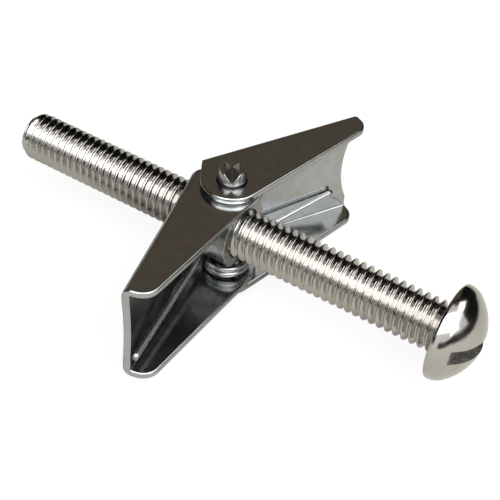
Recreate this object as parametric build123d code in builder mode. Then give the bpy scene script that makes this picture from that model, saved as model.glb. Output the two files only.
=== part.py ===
from build123d import *
import os
from math import acos, atan2, cos, degrees, hypot, radians, sin, sqrt, tan

os.makedirs("parts", exist_ok=True)

# Spring toggle bolt, M6. A slotted round-head screw carries a trunnion nut. Two folded
# sheet-steel wings, one nested in the other, hinge on the trunnions, and a torsion
# spring around the lower trunnion throws them open.
# Frame: the screw's axis is X and points out of the head. The origin lies on that axis
# in the plane of the head's underside. The wings' hinge axis is upright, along Z.
# Lengths are in millimetres and angles in degrees.

# Screw
thread_diameter = 6.0
thread_pitch = 1.0
thread_depth = 0.55
turns_per_ring = 2
screw_length = 58.0
tip_length = 1.3
tip_diameter = 3.8
head_diameter = 11.2
head_height = 4.3
head_rim = 0.4
head_shoulder = 2.4
slot_width = 1.7
slot_depth = 2.0
slot_angle = -12.0

# The hinge axis lies this far behind the head
pivot_reach = 28.2

# Wings: the outer one's outer faces lie at these heights over and under the screw's
# axis, and the inner one is nested between them
outer_top = 7.1
outer_bottom = 7.9
sheet = 0.85
bend_radius = 0.3
web_reach = 5.2
wing_length = 20.0
ear_radius = 3.6
tip_width = 3.2
tip_round = 2.1
inner_scallop = 0.4
outer_scallop = 1.2
scallop_share = 0.8
notch_round = 1.0
inner_angle = 75.0
outer_angle = 62.0
stop_gap_angle = 16.0

# Trunnion nut
nut_diameter = 8.4
nut_length = 4.2
neck_diameter = 4.8
journal_diameter = 3.2
stake_height = 1.5
stake_flare = 0.1
stake_waist = 0.4
stake_taper = 0.25
groove_width = 1.7
groove_depth = 1.0
groove_angle = -58.0
foot_height = 0.8
foot_flare = 0.5
foot_bevel = 0.3

# Torsion spring
wire_diameter = 0.75
wire_sides = 12
coil_diameter = 5.8
full_turns = 2
turn_gap = 0.04
inner_leg_reach = 19.5
outer_leg_reach = 17.3
leg_knee = 5.0
inner_leg_rise = -0.3
outer_leg_rise = 2.0
leg_overlap = 0.2

# Clearances, and how far a cut runs past what it cuts
hinge_clearance = 0.05
nest_clearance = 0.05
thread_clearance = 0.06
side_clearance = 0.05
coil_clearance = 0.08
leg_clearance = 0.03
notch_clearance = 0.5
overrun = 1.0

# Sizes that follow
thread_radius = thread_diameter / 2
journal_radius = journal_diameter / 2
wire_radius = wire_diameter / 2
web_inside = web_reach - sheet
tip_edge = tip_width - web_reach
inner_top = outer_top - sheet - nest_clearance
inner_bottom = outer_bottom - sheet - nest_clearance
room_top = inner_top - sheet
room_bottom = inner_bottom - sheet
pivot_x = -pivot_reach
open_angle = inner_angle + outer_angle

# The webs' ends meet behind the screw and stop the wings there
web_back = web_inside * tan(radians(90 - (open_angle + stop_gap_angle) / 2))
# Each web is notched for the screw and for the nut that turns past it
widest = radians(max(inner_angle, outer_angle))
nut_corner = hypot(nut_diameter / 2, nut_length / 2)
screw_notch = (thread_radius + notch_clearance) / sin(widest) - web_inside / tan(widest)
nut_notch = sqrt(max(nut_corner**2 - web_inside**2, 0)) + notch_clearance
notch_reach = max(screw_notch, nut_notch)
notch_height = thread_diameter + 2 * notch_clearance


def wing_plane(angle, up):
    """The plane of a wing: x runs to its tip and y to its open side, which faces the head."""
    turn = radians(angle)
    return Plane(origin=(pivot_x, 0, 0), x_dir=(cos(turn), sin(turn), 0), z_dir=(0, 0, up))


inner_plane = wing_plane(-inner_angle, 1)
outer_plane = wing_plane(outer_angle, -1)


def make_wing(plane, low, high, scallop_depth):
    """One folded channel: two eared flanges joined by a notched and scalloped web."""
    along = Axis(plane.origin, plane.x_dir)
    across = Axis(plane.origin, plane.y_dir)
    web_origin = plane.from_local_coords((0, -web_reach, 0))
    web_plane = Plane(origin=web_origin, x_dir=plane.x_dir, z_dir=plane.y_dir)
    inside = high - low - 2 * sheet
    middle = -(low + high) / 2
    # The ear's arc runs between the two lines that touch it from the tip and from the back corner
    tip_turn = atan2(tip_edge, wing_length) + acos(ear_radius / hypot(wing_length, tip_edge))
    back_turn = atan2(-web_reach, -web_back) - acos(ear_radius / hypot(web_reach, web_back))
    ear_start = degrees(tip_turn)
    ear_span = (degrees(back_turn) - ear_start) % 360
    scallop_half = inside * scallop_share / 2
    scallop_radius = (scallop_half**2 + scallop_depth**2) / (2 * scallop_depth)
    with BuildPart() as wing:
        with BuildSketch(plane.offset(low)) as flange:
            with BuildLine():
                ear = CenterArc((0, 0), ear_radius, ear_start, ear_span)
                Polyline(
                    ear @ 1,
                    (-web_back, -web_reach),
                    (wing_length, -web_reach),
                    (wing_length, tip_edge),
                    ear @ 0,
                )
            make_face()
            fillet(flange.vertices().sort_by_distance((wing_length, tip_edge))[0], tip_round)
        extrude(amount=high - low)
        with BuildSketch(plane.offset(low + sheet)):
            with Locations((-ear_radius - overrun, -web_inside)):
                Rectangle(
                    wing_length + ear_radius + 2 * overrun,
                    web_inside + ear_radius + overrun,
                    align=Align.MIN,
                )
        extrude(amount=inside, mode=Mode.SUBTRACT)
        fillet(wing.edges().filter_by(along).group_by(across)[-1], bend_radius)
        fillet(wing.edges().filter_by(along).group_by(across)[0], bend_radius + sheet)
        with BuildSketch(plane.offset(low - overrun)):
            Circle(journal_radius + hinge_clearance)
        extrude(amount=high - low + 2 * overrun, mode=Mode.SUBTRACT)
        with BuildSketch(web_plane.offset(-overrun)):
            with Locations((notch_reach, 0)):
                RectangleRounded(
                    notch_reach + ear_radius + web_back,
                    notch_height,
                    notch_round,
                    align=(Align.MAX, Align.CENTER),
                )
            with Locations((-web_back, middle)):
                Rectangle(ear_radius + overrun, inside, align=(Align.MAX, Align.CENTER))
        extrude(amount=sheet + bend_radius + overrun, mode=Mode.SUBTRACT)
        with BuildSketch(web_plane.offset(-overrun)):
            with Locations((wing_length - scallop_depth + scallop_radius, middle)):
                Circle(scallop_radius)
        extrude(amount=sheet + overrun, mode=Mode.SUBTRACT)
    return wing.part


# Machine screw: the head's crown is a ball that runs into a rounder shoulder. The thread is
# drawn as plain rings, each for as many turns as named above, so that the faces stay few.
rim_radius = head_diameter / 2
dome_rise = head_height - head_rim
shoulder_centre = rim_radius - head_shoulder
crown_radius = (dome_rise**2 + shoulder_centre**2 - head_shoulder**2) / (2 * (dome_rise - head_shoulder))
crown_angle = atan2(shoulder_centre, crown_radius - dome_rise)
crown_edge = (head_height - crown_radius * (1 - cos(crown_angle)), crown_radius * sin(crown_angle))
thread_length = screw_length - tip_length
ring_count = round(thread_length / (turns_per_ring * thread_pitch))
ring_pitch = thread_length / ring_count
thread_points = [(-thread_length, thread_radius)]
for ring in range(ring_count):
    crest = (ring + 1) * ring_pitch - thread_length
    thread_points.append((crest - ring_pitch / 2, thread_radius - thread_depth))
    thread_points.append((crest, thread_radius))
with BuildPart() as machine_screw:
    with BuildSketch(Plane.XZ):
        with BuildLine():
            shank = Polyline(*thread_points, (0, rim_radius), (head_rim, rim_radius))
            shoulder = TangentArc(shank @ 1, crown_edge, tangent=(1, 0))
            crown = TangentArc(shoulder @ 1, (head_height, 0), tangent=shoulder % 1)
            end = Polyline(crown @ 1, (-screw_length, 0), (-screw_length, tip_diameter / 2))
            TangentArc(shank @ 0, end @ 1, tangent=(-1, 0))
        make_face()
    revolve(axis=Axis.X)
    with BuildSketch(Plane(origin=(head_height, 0, 0), x_dir=(0, 1, 0), z_dir=(-1, 0, 0))):
        Rectangle(head_diameter + overrun, slot_width, rotation=-slot_angle)
    extrude(amount=slot_depth, mode=Mode.SUBTRACT)

# Torsion spring: each leg touches the coil's circle and leans on the inside of its web
coil_radius = (coil_diameter - wire_diameter) / 2
leg_side = web_inside - wire_radius - leg_clearance


def tangent_turn(reach):
    """The angle between a wing and the coil's radius to the point that its leg touches."""
    return degrees(acos(coil_radius / hypot(reach, leg_side)) + atan2(leg_side, reach))


upper_turn = -inner_angle - tangent_turn(inner_leg_reach)
lower_turn = outer_angle + tangent_turn(outer_leg_reach)
coil_turns = full_turns + (upper_turn - lower_turn) % 360 / 360
coil_pitch = wire_diameter + turn_gap
coil_rise = coil_turns * coil_pitch
lower_height = side_clearance + wire_radius - room_bottom
upper_height = lower_height + coil_rise


def leg_points(plane, reach, turn, height, rise):
    """A leg's start inside the coil's end, its knee and its end, which stands a little off that height."""
    touch = Vector(
        pivot_x + coil_radius * cos(radians(turn)),
        coil_radius * sin(radians(turn)),
        height,
    )
    foot = plane.from_local_coords(Vector(reach, -leg_side, 0))
    end = Vector(foot.X, foot.Y, height)
    along = (end - touch).normalized()
    return touch - along * leg_overlap, touch + along * leg_knee, end + Vector(0, 0, rise)


upper_leg = leg_points(inner_plane, inner_leg_reach, upper_turn, upper_height, inner_leg_rise)
lower_leg = leg_points(outer_plane, outer_leg_reach, lower_turn, lower_height, outer_leg_rise)
coil_x = Vector(cos(radians(lower_turn)), sin(radians(lower_turn)), 0)
coil_plane = Plane(origin=(pivot_x, 0, lower_height), x_dir=coil_x, z_dir=(0, 0, 1))
with BuildPart() as torsion_spring:
    with BuildLine(coil_plane):
        coil = Helix(coil_pitch, coil_rise, coil_radius)
    with BuildSketch(Plane(origin=coil @ 0, z_dir=coil % 0)):
        RegularPolygon(wire_radius, wire_sides)
    sweep(path=coil, is_frenet=True)
    for start, knee, end in (upper_leg, lower_leg):
        with BuildLine():
            leg = Polyline(start, knee, end)
        with BuildSketch(Plane(origin=start, z_dir=knee - start)):
            Circle(wire_radius)
        sweep(path=leg, transition=Transition.RIGHT)

# Trunnion nut: a flatted collar on the screw with two journals for the wings
nut_bottom = upper_height + wire_radius + coil_clearance
neck_top = room_top - side_clearance
stake_base = outer_top + side_clearance
stake_top = stake_base + stake_height
foot_base = -outer_bottom - side_clearance
foot_end = foot_base - foot_height
neck_radius = neck_diameter / 2
stake_radius = journal_radius + stake_flare
foot_radius = journal_radius + foot_flare
groove_turn = radians(groove_angle)
groove_along = (cos(groove_turn), sin(groove_turn), 0)
groove_side = (-sin(groove_turn), cos(groove_turn), 0)
with BuildPart() as trunnion_nut:
    with BuildSketch(Plane(origin=(pivot_x, 0, 0), x_dir=(0, 1, 0), z_dir=(1, 0, 0))):
        Circle(nut_diameter / 2)
        Rectangle(nut_diameter, -2 * nut_bottom, mode=Mode.INTERSECT)
    extrude(amount=nut_length / 2, both=True)
    with BuildSketch(Plane(origin=(pivot_x, 0, 0), x_dir=(1, 0, 0), z_dir=(0, -1, 0))):
        with BuildLine():
            Polyline(
                (0, foot_end),
                (foot_radius - foot_bevel, foot_end),
                (foot_radius, foot_end + foot_bevel),
                (foot_radius, foot_base),
                (journal_radius, foot_base),
                (journal_radius, 0),
                (neck_radius, 0),
                (neck_radius, neck_top),
                (journal_radius, neck_top),
                (journal_radius, stake_base),
                (stake_radius, stake_base + stake_waist),
                (stake_radius - stake_taper, stake_top),
                (0, stake_top),
                close=True,
            )
        make_face()
    revolve(axis=Axis((pivot_x, 0, 0), (0, 0, 1)))
    with BuildSketch(Plane(origin=(pivot_x - nut_length, 0, 0), x_dir=(0, 1, 0), z_dir=(1, 0, 0))):
        Circle(thread_radius + thread_clearance)
    extrude(amount=2 * nut_length, mode=Mode.SUBTRACT)
    with BuildSketch(Plane(origin=(pivot_x, 0, stake_top), x_dir=groove_side, z_dir=groove_along)):
        with BuildLine():
            Polyline((-groove_width / 2, 0), (0, -groove_depth), (groove_width / 2, 0), close=True)
        make_face()
    extrude(amount=stake_radius + overrun, both=True, mode=Mode.SUBTRACT)

inner_wing = make_wing(inner_plane, -inner_bottom, inner_top, inner_scallop)
outer_wing = make_wing(outer_plane, -outer_top, outer_bottom, outer_scallop)

machine_screw.part.label = "machine_screw"
export_step(machine_screw.part, "parts/machine_screw.step")
trunnion_nut.part.label = "trunnion_nut"
export_step(trunnion_nut.part, "parts/trunnion_nut.step")
inner_wing.label = "inner_wing"
export_step(inner_wing, "parts/inner_wing.step")
outer_wing.label = "outer_wing"
export_step(outer_wing, "parts/outer_wing.step")
torsion_spring.part.label = "torsion_spring"
export_step(torsion_spring.part, "parts/torsion_spring.step")
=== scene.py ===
from math import acos, atan2, cos, degrees, hypot, pi, radians, sin, sqrt

import bpy
import bmesh
from mathutils import Matrix, Vector


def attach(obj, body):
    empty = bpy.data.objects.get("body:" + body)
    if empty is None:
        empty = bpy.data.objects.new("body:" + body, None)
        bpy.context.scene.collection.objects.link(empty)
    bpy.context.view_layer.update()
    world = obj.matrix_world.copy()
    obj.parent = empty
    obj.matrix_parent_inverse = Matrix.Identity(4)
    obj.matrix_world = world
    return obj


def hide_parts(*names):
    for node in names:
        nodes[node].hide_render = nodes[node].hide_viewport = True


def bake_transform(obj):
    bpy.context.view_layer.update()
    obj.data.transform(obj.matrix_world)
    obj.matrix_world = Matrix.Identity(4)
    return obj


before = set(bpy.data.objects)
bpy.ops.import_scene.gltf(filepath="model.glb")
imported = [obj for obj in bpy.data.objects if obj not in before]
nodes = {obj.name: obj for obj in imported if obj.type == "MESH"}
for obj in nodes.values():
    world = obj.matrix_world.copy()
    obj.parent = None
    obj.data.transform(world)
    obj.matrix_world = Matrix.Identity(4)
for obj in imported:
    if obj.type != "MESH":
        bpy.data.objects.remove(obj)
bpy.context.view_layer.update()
scene = bpy.context.scene

# Sizes of the part, in metres and degrees, as in its source
MM = 0.001
thread_radius = 3.0 * MM
root_radius = 2.42 * MM
thread_pitch = 1.0 * MM
screw_length = 58.0 * MM
tip_length = 1.3 * MM
tip_radius = 1.9 * MM
head_radius = 5.6 * MM
head_height = 4.3 * MM
head_rim = 0.4 * MM
head_shoulder = 2.4 * MM
slot_width = 1.7 * MM
slot_depth = 2.0 * MM
slot_angle = radians(-12.0)
pivot = Vector((-28.2 * MM, 0, 0))
inner_angle = 75.0
outer_angle = 62.0
wire_radius = 0.375 * MM
coil_radius = 2.525 * MM
coil_pitch = 0.79 * MM
full_turns = 2
coil_bottom = -5.725 * MM
inner_leg_reach = 19.5 * MM
outer_leg_reach = 17.3 * MM
leg_side = 3.945 * MM
leg_knee = 5.0 * MM
inner_leg_rise = -0.3 * MM
outer_leg_rise = 2.0 * MM

# Finish of the edges, and how finely the round forms are divided
wing_edge = 0.22 * MM
nut_edge = 0.1 * MM
slot_edge = 0.16 * MM
edge_segments = 3
weld_distance = 0.16 * MM
merge_distance = 0.002 * MM
thread_overlap = 0.3 * MM
thread_steps = 48
head_steps = 96
wire_sides = 16
half_coil_steps = 60
leg_steps = 36

# Sizes and tones of the stage; the floor lies just under the part
floor_level = -9.0 * MM
floor_reach = 0.3
floor_glow = 0.88
floor_shade = (0.18, 0.18, 0.18)
floor_pale = (0.76, 0.747, 0.686)
flag_distance = 0.9
black = (0.012, 0.011, 0.010)

# The camera, fitted to the photograph
photo_width = 500.0
focal_pixels = 1100.02
sensor_width = 36.0
camera_azimuth = radians(-60.52)
camera_elevation = radians(42.34)
camera_roll = radians(4.93)
camera_distance = 129.19 * MM
camera_right = 2.5 * MM
camera_up = -2.78 * MM


def direction(azimuth, elevation):
    """The unit vector from the part towards a point around it; both angles are in radians."""
    return Vector((cos(elevation) * cos(azimuth), cos(elevation) * sin(azimuth), sin(elevation)))


# Materials


def new_material(name):
    material = bpy.data.materials.new(name)
    material.use_nodes = True
    tree = material.node_tree
    tree.nodes.clear()
    output = tree.nodes.new("ShaderNodeOutputMaterial")
    return material, tree, output


def plated_metal(name, dark, light, rough, grain, bump, cloud=240.0, edge=1.0):
    """Zinc plating: cloudy tone, uneven polish and a fine grain; edge dims grazing reflections."""
    material, tree, output = new_material(name)
    make, link = tree.nodes.new, tree.links.new
    shader = make("ShaderNodeBsdfPrincipled")
    shader.inputs["Metallic"].default_value = 1.0
    shader.inputs["Specular Tint"].default_value = (edge, edge, edge, 1)
    place = make("ShaderNodeTexCoord")
    clouds = make("ShaderNodeTexNoise")
    clouds.inputs["Scale"].default_value = cloud
    clouds.inputs["Detail"].default_value = 5.0
    tone = make("ShaderNodeValToRGB")
    tone.color_ramp.elements[0].position = 0.3
    tone.color_ramp.elements[0].color = (*dark, 1)
    tone.color_ramp.elements[1].position = 0.7
    tone.color_ramp.elements[1].color = (*light, 1)
    polish = make("ShaderNodeMapRange")
    polish.inputs["To Min"].default_value = rough[0]
    polish.inputs["To Max"].default_value = rough[1]
    fine = make("ShaderNodeTexNoise")
    fine.inputs["Scale"].default_value = grain
    fine.inputs["Detail"].default_value = 3.0
    relief = make("ShaderNodeBump")
    relief.inputs["Strength"].default_value = bump
    relief.inputs["Distance"].default_value = 0.02 * MM
    link(place.outputs["Object"], clouds.inputs["Vector"])
    link(place.outputs["Object"], fine.inputs["Vector"])
    link(clouds.outputs["Fac"], tone.inputs["Fac"])
    link(tone.outputs["Color"], shader.inputs["Base Color"])
    link(fine.outputs["Fac"], polish.inputs["Value"])
    link(polish.outputs["Result"], shader.inputs["Roughness"])
    link(fine.outputs["Fac"], relief.inputs["Height"])
    link(relief.outputs["Normal"], shader.inputs["Normal"])
    link(shader.outputs["BSDF"], output.inputs["Surface"])
    return material


screw_zinc = plated_metal(
    "screw_zinc",
    dark=(0.44, 0.425, 0.40),
    light=(0.52, 0.505, 0.48),
    rough=(0.10, 0.20),
    grain=2600.0,
    bump=0.02,
)
wing_zinc = plated_metal(
    "wing_zinc",
    dark=(0.42, 0.43, 0.43),
    light=(0.485, 0.50, 0.50),
    rough=(0.15, 0.20),
    grain=1800.0,
    bump=0.012,
    cloud=800.0,
    edge=0.4,
)
nut_zinc = plated_metal(
    "nut_zinc",
    dark=(0.30, 0.30, 0.29),
    light=(0.42, 0.42, 0.41),
    rough=(0.22, 0.34),
    grain=2200.0,
    bump=0.03,
)
head_zinc = plated_metal(
    "head_zinc",
    dark=(0.43, 0.415, 0.39),
    light=(0.53, 0.515, 0.49),
    rough=(0.10, 0.22),
    grain=1300.0,
    bump=0.15,
)
cut_zinc = plated_metal(
    "cut_zinc",
    dark=(0.20, 0.197, 0.187),
    light=(0.60, 0.59, 0.56),
    rough=(0.34, 0.52),
    grain=2600.0,
    bump=0.3,
    cloud=1500.0,
)
spring_wire = plated_metal(
    "spring_wire",
    dark=(0.36, 0.365, 0.37),
    light=(0.44, 0.448, 0.455),
    rough=(0.24, 0.32),
    grain=3000.0,
    bump=0.02,
)


def show_with(obj, material):
    obj.data.materials.clear()
    obj.data.materials.append(material)


def mesh_object(name, vertices, faces):
    mesh = bpy.data.meshes.new(name)
    mesh.from_pydata([tuple(v) for v in vertices], [], faces)
    mesh.validate()
    for polygon in mesh.polygons:
        polygon.use_smooth = True
    obj = bpy.data.objects.new(name, mesh)
    scene.collection.objects.link(obj)
    return obj


# Screw: a helical thread, and a domed head with its slot

# The thread's profile: share of the pitch, and share of the height from root to crest
thread_profile = (
    (0.0, 0.0),
    (0.08, 0.0),
    (0.16, 0.12),
    (0.44, 0.90),
    (0.50, 1.0),
    (0.58, 1.0),
    (0.64, 0.90),
    (0.92, 0.12),
)


def thread_mesh():
    """One strip that winds along the screw; its profile runs from root to crest and back."""
    start, stop = -screw_length, thread_overlap
    turns = int((stop - start) / thread_pitch) + 2
    rows = turns * thread_steps
    vertices = []
    for row in range(rows + 1):
        angle = 2 * pi * row / thread_steps
        base = start - thread_pitch + thread_pitch * row / thread_steps
        for share, rise in thread_profile:
            x = base + share * thread_pitch
            r = root_radius + rise * (thread_radius - root_radius)
            depth = x - start
            if depth < tip_length:
                span = 1 - max(depth, 0) / tip_length
                r = min(r, tip_radius + (thread_radius - tip_radius) * sqrt(1 - span**2))
            if x > stop:
                r = root_radius
            x = min(max(x, start), stop)
            vertices.append((x, r * cos(angle), r * sin(angle)))
    count = len(thread_profile)
    last = count - 1
    turn = thread_steps * count
    faces = []
    for row in range(rows):
        here, there = row * count, (row + 1) * count
        for k in range(last):
            faces.append((here + k, there + k, there + k + 1, here + k + 1))
        # The profile's last point joins its first point one turn on
        if row + thread_steps + 1 <= rows:
            faces.append((here + last, there + last, there + turn, here + turn))
    return vertices, faces


def make_thread():
    thread = mesh_object("screw_thread", *thread_mesh())
    # Both ends are cut off flat: points that fall together there are merged, and the ends closed
    work = bmesh.new()
    work.from_mesh(thread.data)
    bmesh.ops.remove_doubles(work, verts=work.verts, dist=merge_distance)
    bmesh.ops.dissolve_degenerate(work, dist=merge_distance, edges=work.edges)
    bmesh.ops.holes_fill(work, edges=work.edges)
    work.to_mesh(thread.data)
    work.free()
    show_with(thread, screw_zinc)
    return thread


def turned(name, outline, segments):
    """A surface of revolution about the screw's axis; its outline starts and ends on the axis."""
    inner = outline[1:-1]
    vertices = [(outline[0][0], 0, 0)]
    for x, r in inner:
        for k in range(segments):
            angle = 2 * pi * k / segments
            vertices.append((x, r * cos(angle), r * sin(angle)))
    vertices.append((outline[-1][0], 0, 0))
    faces = []
    for k in range(segments):
        follow = (k + 1) % segments
        faces.append((0, 1 + follow, 1 + k))
        for ring in range(len(inner) - 1):
            low, high = 1 + ring * segments, 1 + (ring + 1) * segments
            faces.append((low + k, low + follow, high + follow, high + k))
        last = 1 + (len(inner) - 1) * segments
        faces.append((last + k, last + follow, len(vertices) - 1))
    return mesh_object(name, vertices, faces)


def head_outline():
    """Flat underside, rounded rim, round shoulder, and a crown that is part of a ball."""
    rim_points, shoulder_points, crown_points = 8, 14, 18
    rise = head_height - head_rim
    centre = head_radius - head_shoulder
    crown_radius = (rise**2 + centre**2 - head_shoulder**2) / (2 * (rise - head_shoulder))
    crown_angle = atan2(centre, crown_radius - rise)
    outline = [(0, 0), (0, head_radius / 2), (0, head_radius - head_rim)]
    for k in range(1, rim_points):
        turn = pi / 2 * k / rim_points
        outline.append((head_rim * (1 - cos(turn)), head_radius - head_rim * (1 - sin(turn))))
    for k in range(shoulder_points):
        turn = (pi / 2 - crown_angle) * k / shoulder_points
        outline.append((head_rim + head_shoulder * sin(turn), centre + head_shoulder * cos(turn)))
    for k in range(crown_points):
        turn = crown_angle * (1 - k / crown_points)
        outline.append((head_height - crown_radius * (1 - cos(turn)), crown_radius * sin(turn)))
    outline.append((head_height, 0))
    return outline


def cut_slot(head):
    cutter_mesh = bpy.data.meshes.new("slot_cutter")
    work = bmesh.new()
    bmesh.ops.create_cube(work, size=1.0)
    work.to_mesh(cutter_mesh)
    work.free()
    cutter = bpy.data.objects.new("slot_cutter", cutter_mesh)
    cutter.scale = (2 * slot_depth, 4 * head_radius, slot_width)
    cutter.location = (head_height, 0, 0)
    cutter.rotation_euler = (slot_angle, 0, 0)
    scene.collection.objects.link(cutter)
    cut = head.modifiers.new("slot", "BOOLEAN")
    cut.object = cutter
    cut.solver = "EXACT"
    bpy.context.view_layer.update()
    depsgraph = bpy.context.evaluated_depsgraph_get()
    baked = bpy.data.meshes.new_from_object(head.evaluated_get(depsgraph))
    head.modifiers.clear()
    head.data = baked
    bpy.data.objects.remove(cutter)


def finish_slot(head):
    """The slot's walls and bottom are milled, and duller than the head."""
    head.data.materials.append(cut_zinc)
    aligned, slack = 0.999, 0.01 * MM
    across = Vector((0, -sin(slot_angle), cos(slot_angle)))
    slot_floor = head_height - slot_depth
    for polygon in head.data.polygons:
        sideways = abs(polygon.normal.dot(across)) > aligned
        wall = sideways and abs(polygon.center.dot(across)) < slot_width / 2 + slack
        bottom = polygon.normal.x > aligned and abs(polygon.center.x - slot_floor) < slack
        if wall or bottom:
            polygon.material_index = 1


def make_head():
    head = turned("screw_head", head_outline(), head_steps)
    cut_slot(head)
    soften = head.modifiers.new("soft_edges", "BEVEL")
    soften.width = slot_edge
    soften.segments = edge_segments
    soften.limit_method = "ANGLE"
    soften.angle_limit = radians(35)
    soften.harden_normals = False
    show_with(head, head_zinc)
    finish_slot(head)
    return head


thread = make_thread()
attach(thread, "screw")
head = make_head()
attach(head, "screw")
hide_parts("machine_screw")
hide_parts("machine_screw")


# Spring: wire swept along its coil and legs, in two halves


def tangent_turn(reach):
    """The angle, in degrees from a wing's axis, at which a leg with this reach leaves the coil."""
    return degrees(acos(coil_radius / hypot(reach, leg_side)) + atan2(leg_side, reach))


upper_turn = -inner_angle - tangent_turn(inner_leg_reach)
lower_turn = outer_angle + tangent_turn(outer_leg_reach)
coil_turns = full_turns + (upper_turn - lower_turn) % 360 / 360
coil_top = coil_bottom + coil_turns * coil_pitch


def coil_point(share):
    """A point on the coil's centre line: share 0 is its lower end and 1 its upper end."""
    angle = radians(lower_turn + 360 * coil_turns * share)
    height = coil_bottom + (coil_top - coil_bottom) * share
    return pivot + Vector((coil_radius * cos(angle), coil_radius * sin(angle), height))


def leg_path(angle, side, share, reach, rise):
    """The leg's centre line, from the coil to its end behind the web; it slopes after its knee."""
    turn = radians(angle)
    along = Vector((cos(turn), sin(turn), 0))
    across = Vector((-sin(turn), cos(turn), 0)) * side
    start = coil_point(share)
    foot = pivot + along * reach - across * leg_side
    end = Vector((foot.x, foot.y, start.z))
    length = (end - start).length
    points = []
    for k in range(1, leg_steps + 1):
        run = k / leg_steps
        climb = max(0, (run * length - leg_knee) / (length - leg_knee))
        points.append(start.lerp(end, run) + Vector((0, 0, rise * climb)))
    return points


def wire(name, points, shares):
    """Round wire along the points; its shares are not used."""
    vertices, weights = [], []
    for k, point in enumerate(points):
        ahead = points[min(k + 1, len(points) - 1)] - points[max(k - 1, 0)]
        ahead.normalize()
        side = ahead.cross(Vector((0, 0, 1))).normalized()
        up = side.cross(ahead)
        for j in range(wire_sides):
            turn = 2 * pi * j / wire_sides
            vertices.append(point + (side * cos(turn) + up * sin(turn)) * wire_radius)
            weights.append(shares[k])
    faces = []
    for k in range(len(points) - 1):
        here, there = k * wire_sides, (k + 1) * wire_sides
        for j in range(wire_sides):
            follow = (j + 1) % wire_sides
            faces.append((here + j, there + j, there + follow, here + follow))
    last = (len(points) - 1) * wire_sides
    faces.append(tuple(range(wire_sides)))
    faces.append(tuple(last + j for j in range(wire_sides))[::-1])
    obj = mesh_object(name, vertices, faces)
    show_with(obj, spring_wire)
    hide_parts("torsion_spring")
    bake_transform(obj)


growth = [k / half_coil_steps for k in range(half_coil_steps + 1)]
upper_coil = [coil_point(0.5 + 0.5 * share) for share in growth]
lower_coil = [coil_point(0.5 - 0.5 * share) for share in growth]
upper_leg = leg_path(-inner_angle, 1, 1, inner_leg_reach, inner_leg_rise)
lower_leg = leg_path(outer_angle, -1, 0, outer_leg_reach, outer_leg_rise)
wire_shares = growth + [1.0] * leg_steps
wire("spring_upper", upper_coil + upper_leg, wire_shares)
wire("spring_lower", lower_coil + lower_leg, wire_shares)


# Wings and nut keep their solids; their edges are eased


def eased(node, material, width):
    obj = nodes[node]
    show_with(obj, material)
    weld = obj.modifiers.new("weld", "WELD")
    weld.merge_threshold = weld_distance
    merge = obj.modifiers.new("flat_faces", "DECIMATE")
    merge.decimate_type = "DISSOLVE"
    merge.angle_limit = radians(1)
    bevel = obj.modifiers.new("eased_edges", "BEVEL")
    bevel.width = width
    bevel.segments = edge_segments
    bevel.limit_method = "ANGLE"
    bevel.angle_limit = radians(40)
    bevel.use_clamp_overlap = False
    shading = obj.modifiers.new("flat_shading", "WEIGHTED_NORMAL")
    shading.mode = "FACE_AREA"
    shading.weight = 90


eased("inner_wing", wing_zinc, wing_edge)
eased("outer_wing", wing_zinc, wing_edge)
eased("trunnion_nut", nut_zinc, nut_edge)


# Stage: pale floor, white surroundings, dark flags behind and low around the part, soft boxes


def make_floor():
    """White to the camera, with a faint shadow; pale to all other rays, so in reflections too."""
    r, z = floor_reach, floor_level
    floor = mesh_object("floor", [(-r, -r, z), (r, -r, z), (r, r, z), (-r, r, z)], [(0, 1, 2, 3)])
    material, tree, output = new_material("floor")
    make, link = tree.nodes.new, tree.links.new
    path = make("ShaderNodeLightPath")
    white = make("ShaderNodeEmission")
    white.inputs["Strength"].default_value = floor_glow
    shaded = make("ShaderNodeBsdfDiffuse")
    shaded.inputs["Color"].default_value = (*floor_shade, 1)
    both = make("ShaderNodeAddShader")
    pale = make("ShaderNodeBsdfDiffuse")
    pale.inputs["Color"].default_value = (*floor_pale, 1)
    mix = make("ShaderNodeMixShader")
    link(white.outputs["Emission"], both.inputs[0])
    link(shaded.outputs["BSDF"], both.inputs[1])
    link(path.outputs["Is Camera Ray"], mix.inputs["Fac"])
    link(pale.outputs["BSDF"], mix.inputs[1])
    link(both.outputs["Shader"], mix.inputs[2])
    link(mix.outputs["Shader"], output.inputs["Surface"])
    show_with(floor, material)


def make_world():
    """White to the camera, in reflections and through glass; almost black to matt surfaces."""
    world = bpy.data.worlds.new("studio")
    scene.world = world
    world.use_nodes = True
    tree = world.node_tree
    tree.nodes.clear()
    make, link = tree.nodes.new, tree.links.new
    output = make("ShaderNodeOutputWorld")
    path = make("ShaderNodeLightPath")
    seen = path.outputs["Is Camera Ray"]
    for kind in ("Is Glossy Ray", "Is Transmission Ray"):
        either = make("ShaderNodeMath")
        either.operation = "MAXIMUM"
        link(seen, either.inputs[0])
        link(path.outputs[kind], either.inputs[1])
        seen = either.outputs["Value"]
    dark = make("ShaderNodeBackground")
    dark.inputs["Color"].default_value = (*black, 1)
    white = make("ShaderNodeBackground")
    white.inputs["Color"].default_value = (1, 1, 1, 1)
    mix = make("ShaderNodeMixShader")
    link(seen, mix.inputs["Fac"])
    link(dark.outputs["Background"], mix.inputs[1])
    link(white.outputs["Background"], mix.inputs[2])
    link(mix.outputs["Shader"], output.inputs["Surface"])


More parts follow.
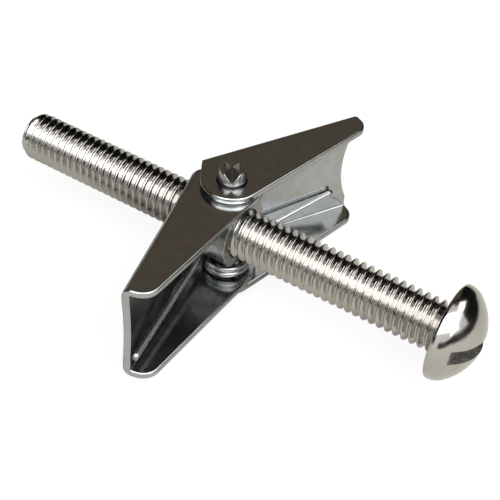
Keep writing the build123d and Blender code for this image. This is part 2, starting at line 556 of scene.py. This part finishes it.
def flag(name, azimuths, elevations):
    """A dark screen, bent round the part, that the metal reflects and the camera doesn't see."""
    columns, rows = 24, 12
    vertices = []
    for j in range(rows + 1):
        elevation = radians(elevations[0] + (elevations[1] - elevations[0]) * j / rows)
        for k in range(columns + 1):
            azimuth = radians(azimuths[0] + (azimuths[1] - azimuths[0]) * k / columns)
            vertices.append(pivot + direction(azimuth, elevation) * flag_distance)
    faces = []
    for j in range(rows):
        for k in range(columns):
            low = j * (columns + 1) + k
            high = low + columns + 1
            faces.append((low, low + 1, high + 1, high))
    screen = mesh_object(name, vertices, faces)
    material, tree, output = new_material(name)
    cloth = tree.nodes.new("ShaderNodeBsdfDiffuse")
    cloth.inputs["Color"].default_value = (*black, 1)
    tree.links.new(cloth.outputs["BSDF"], output.inputs["Surface"])
    show_with(screen, material)
    screen.visible_camera = False


def soft_box(name, azimuth, elevation, distance, size, watts, colour=(1, 1, 1)):
    """A rectangular light that faces the part."""
    light = bpy.data.lights.new(name, "AREA")
    light.color = colour
    light.shape = "RECTANGLE"
    light.size, light.size_y = size
    light.energy = watts
    obj = bpy.data.objects.new(name, light)
    away = direction(radians(azimuth), radians(elevation))
    obj.location = pivot + away * distance
    obj.rotation_euler = away.to_track_quat("Z", "Y").to_euler()
    obj.visible_camera = False
    scene.collection.objects.link(obj)


make_floor()
make_world()
flag("back_flag", azimuths=(55, 236), elevations=(-2, 75))
flag("side_flag", azimuths=(18, 55), elevations=(-2, 42))
flag("front_flag", azimuths=(-75, 18), elevations=(-2, 13))
flag("left_flag", azimuths=(236, 262), elevations=(4, 22))
soft_box("key_box", -62, 58, distance=0.5, size=(0.62, 0.42), watts=2.9)
soft_box("side_box", -17, 38, distance=0.5, size=(0.24, 0.36), watts=0.7)
soft_box("thread_box", 40, 52, distance=0.6, size=(0.27, 0.24), watts=0.5)
soft_box("fill_card", 11, 46, distance=0.55, size=(0.18, 0.30), watts=0.13)
# The tops of the wings mirror this dim, warm card
soft_box("back_card", 135, 32, distance=0.5, size=(0.62, 0.62), watts=0.147, colour=(1.0, 0.81, 0.60))


# Camera


def make_camera():
    camera_data = bpy.data.cameras.new("camera")
    camera_data.sensor_width = sensor_width
    camera_data.lens = focal_pixels * sensor_width / photo_width
    camera_data.clip_start = 5.0 * MM
    camera = bpy.data.objects.new("camera", camera_data)
    toward = direction(camera_azimuth, camera_elevation)
    level = Vector((-sin(camera_azimuth), cos(camera_azimuth), 0))
    upright = level.cross(-toward)
    right = cos(camera_roll) * level + sin(camera_roll) * upright
    up = -sin(camera_roll) * level + cos(camera_roll) * upright
    place = pivot + toward * camera_distance + right * camera_right + up * camera_up
    turn = Matrix((right, up, toward)).transposed().to_4x4()
    camera.matrix_world = Matrix.Translation(place) @ turn
    scene.collection.objects.link(camera)
    scene.camera = camera


make_camera()
scene.view_settings.view_transform = "Standard"
